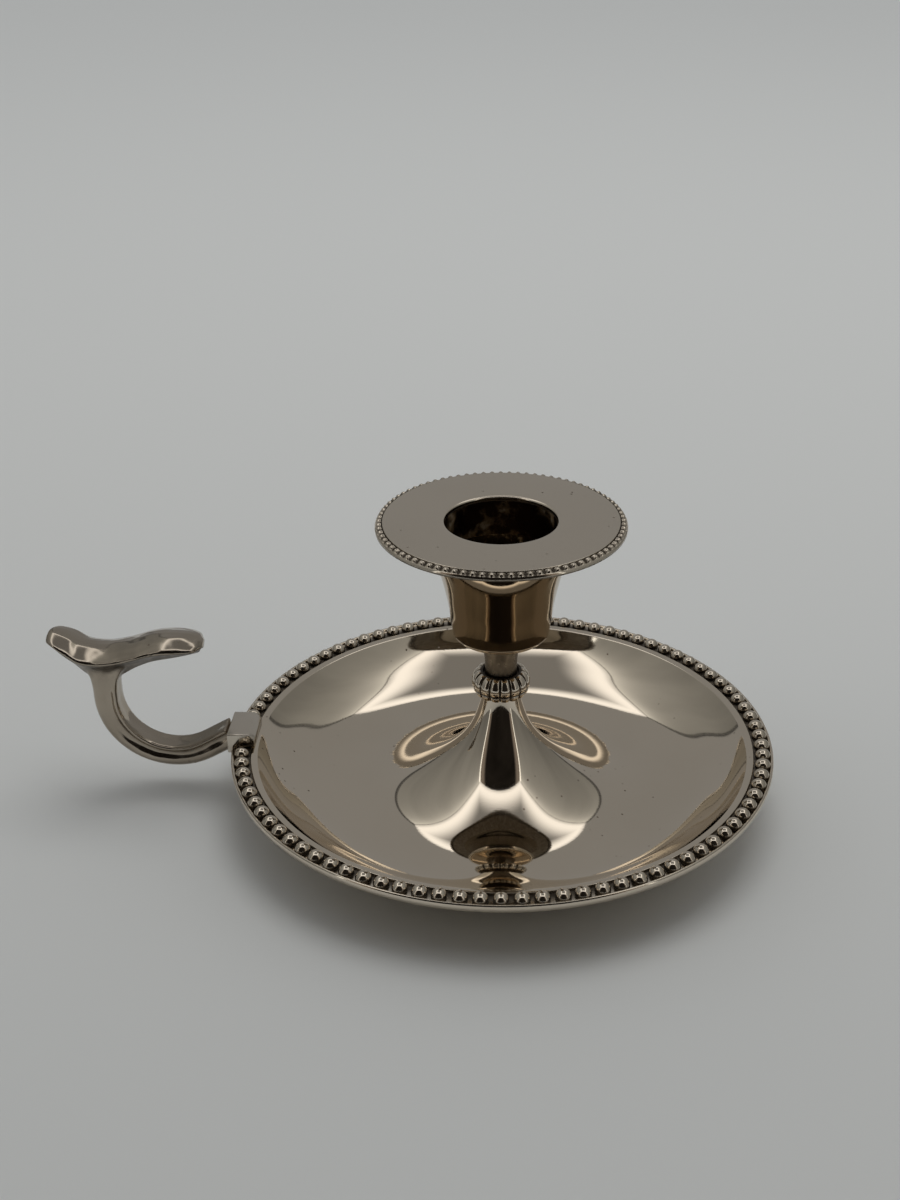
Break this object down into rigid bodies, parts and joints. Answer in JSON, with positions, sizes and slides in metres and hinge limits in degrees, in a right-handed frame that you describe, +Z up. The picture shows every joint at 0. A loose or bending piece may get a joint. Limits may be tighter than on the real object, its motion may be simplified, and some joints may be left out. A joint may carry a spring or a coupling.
{
  "type": "chamberstick",
  "caption": "Dished chamberstick with a trumpet stem, a tapered candle cup with a lift-off drip disc, beaded edges and a finger loop handle with a thumb piece.",
  "frame": {"origin": "centre of the resting ring under the dish, on the stem's axis", "axes": "+Z up the stem and out of the candle bore, -X from the stem towards the handle, +Y to the right seen from the handle"},
  "size_m": [0.1415, 0.106, 0.0596],
  "materials": {
    "silver_plate": "polished silver plate, faintly worn",
    "silver_beading": "cast and polished, tarnished in the grooves",
    "handle_plate": "warm polished nickel silver cast",
    "screw_steel": "plain turned steel"
  },
  "bodies": {
    "root": {"tray_dish": "silver_plate", "rim_beading": "silver_beading", "stem_knop": "silver_beading", "neck_tube": "silver_plate", "socket_cup": "silver_plate", "handle_collar": "handle_plate", "handle_arm": "handle_plate", "thumb_piece": "handle_plate", "tie_rod": "screw_steel", "base_washer": "screw_steel", "base_nut": "screw_steel"},
    "nozzle": {"nozzle_disc": "silver_plate", "nozzle_beading": "silver_beading", "nozzle_sleeve": "silver_plate"}
  },
  "joints": [
    {"name": "nozzle_lift", "type": "slide", "parent": "root", "child": "nozzle", "axis": [0, 0, 1], "range_m": [0, 0.02]}
  ]
}
